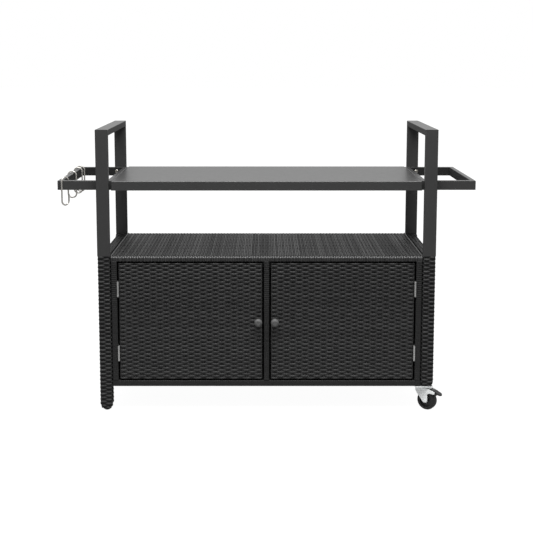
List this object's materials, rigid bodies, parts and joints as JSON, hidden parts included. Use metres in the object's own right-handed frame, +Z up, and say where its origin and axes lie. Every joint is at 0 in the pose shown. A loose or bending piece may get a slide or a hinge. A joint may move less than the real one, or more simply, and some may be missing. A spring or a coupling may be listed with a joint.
{
  "type": "outdoor bar cart",
  "caption": "Black steel and woven wicker bar cart with a serving shelf, handle rails with wire hooks, a cabinet with hinged doors, and brake casters at one end.",
  "frame": {"origin": "on the floor, at the middle of the cart's overall box", "axes": "+X to the caster end, +Y to the back, so the doors face -Y, +Z up"},
  "size_m": [1.343, 0.4718, 0.918],
  "materials": {
    "black_steel": "satin black powder coat",
    "sleeve_steel": "plain steel",
    "wicker": "woven black resin strand",
    "door_tube": "satin black powder coat",
    "bolt_steel": "zinc plated",
    "glide_plastic": "moulded",
    "hinge_steel": "bright plated",
    "catch_plastic": "moulded",
    "knob_grey": "satin grey",
    "caster_zinc": "bright zinc plated",
    "tyre_rubber": "smooth rubber",
    "hub_plastic": "moulded",
    "pedal_plastic": "moulded",
    "hook_wire": "bright wire"
  },
  "bodies": {
    "cart_frame": {"left_side_frame": "black_steel", "right_side_frame": "black_steel", "serving_shelf": "black_steel", "shelf_stiffener": "black_steel", "left_rail": "black_steel", "right_rail": "black_steel", "post_sleeves": "sleeve_steel", "front_left_leg": "wicker", "back_left_leg": "wicker", "front_right_leg": "wicker", "back_right_leg": "wicker", "left_side_panel": "wicker", "right_side_panel": "wicker", "back_panel": "wicker", "cabinet_top": "wicker", "cabinet_floor": "wicker", "front_top_rail": "wicker", "front_bottom_rail": "wicker", "left_stile": "wicker", "right_stile": "wicker", "centre_mullion": "wicker", "rail_bolts": "bolt_steel", "shelf_bolts": "bolt_steel", "caster_plate_bolts": "bolt_steel", "leg_glides": "glide_plastic", "hinge_frame_leaves": "hinge_steel", "hinge_pins": "hinge_steel", "door_catch": "catch_plastic", "front_caster_plate": "caster_zinc", "back_caster_plate": "caster_zinc", "caster_kingpins": "caster_zinc"},
    "left_door": {"left_door_frame": "door_tube", "left_door_panel": "wicker", "left_knob": "knob_grey", "left_knob_screw": "bolt_steel", "left_hinge_leaves": "hinge_steel", "left_strike_plate": "hinge_steel"},
    "right_door": {"right_door_frame": "door_tube", "right_door_panel": "wicker", "right_knob": "knob_grey", "right_knob_screw": "bolt_steel", "right_hinge_leaves": "hinge_steel", "right_strike_plate": "hinge_steel"},
    "front_caster": {"front_caster_fork": "caster_zinc", "front_caster_pins": "caster_zinc", "front_caster_balls": "caster_zinc"},
    "front_wheel": {"front_tyre": "tyre_rubber", "front_hub": "hub_plastic"},
    "front_brake": {"front_brake_pedal": "pedal_plastic"},
    "back_caster": {"back_caster_fork": "caster_zinc", "back_caster_pins": "caster_zinc", "back_caster_balls": "caster_zinc"},
    "back_wheel": {"back_tyre": "tyre_rubber", "back_hub": "hub_plastic"},
    "back_brake": {"back_brake_pedal": "pedal_plastic"},
    "corner_hook": {"hook_1": "hook_wire"},
    "near_hook": {"hook_2": "hook_wire"},
    "middle_hook": {"hook_3": "hook_wire"},
    "far_hook": {"hook_4": "hook_wire"}
  },
  "joints": [
    {"name": "left_door_hinge", "type": "hinge", "parent": "cart_frame", "child": "left_door", "pos_m": [-0.4785, -0.2119, 0.2975], "axis": [0, 0, -1], "range_deg": [0, 160]},
    {"name": "right_door_hinge", "type": "hinge", "parent": "cart_frame", "child": "right_door", "pos_m": [0.4785, -0.2119, 0.2975], "axis": [0, 0, 1], "range_deg": [0, 160]},
    {"name": "front_swivel", "type": "hinge", "parent": "cart_frame", "child": "front_caster", "pos_m": [0.5125, -0.1859, 0.0747], "axis": [0, 0, 1], "continuous": true},
    {"name": "front_wheel_spin", "type": "hinge", "parent": "front_caster", "child": "front_wheel", "pos_m": [0.52592, -0.19461, 0.0315], "axis": [0.5446, 0.8387, 0], "continuous": true},
    {"name": "front_brake_press", "type": "hinge", "parent": "front_caster", "child": "front_brake", "pos_m": [0.54605, -0.20769, 0.061], "axis": [0.5446, 0.8387, 0], "range_deg": [0, 14]},
    {"name": "back_swivel", "type": "hinge", "parent": "cart_frame", "child": "back_caster", "pos_m": [0.5125, 0.2061, 0.0747], "axis": [0, 0, 1], "continuous": true},
    {"name": "back_wheel_spin", "type": "hinge", "parent": "back_caster", "child": "back_wheel", "pos_m": [0.52592, 0.19739, 0.0315], "axis": [0.5446, 0.8387, 0], "continuous": true},
    {"name": "back_brake_press", "type": "hinge", "parent": "back_caster", "child": "back_brake", "pos_m": [0.54605, 0.18431, 0.061], "axis": [0.5446, 0.8387, 0], "range_deg": [0, 14]},
    {"name": "corner_hook_slide", "type": "slide", "parent": "cart_frame", "child": "corner_hook", "axis": [1, 0, 0], "range_m": [0, 0.08]},
    {"name": "near_hook_slide", "type": "slide", "parent": "cart_frame", "child": "near_hook", "axis": [0, 1, 0], "range_m": [-0.14, 0.05]},
    {"name": "middle_hook_slide", "type": "slide", "parent": "cart_frame", "child": "middle_hook", "axis": [0, 1, 0], "range_m": [-0.06, 0.03]},
    {"name": "far_hook_slide", "type": "slide", "parent": "cart_frame", "child": "far_hook", "axis": [0, 1, 0], "range_m": [-0.012, 0.012]}
  ]
}
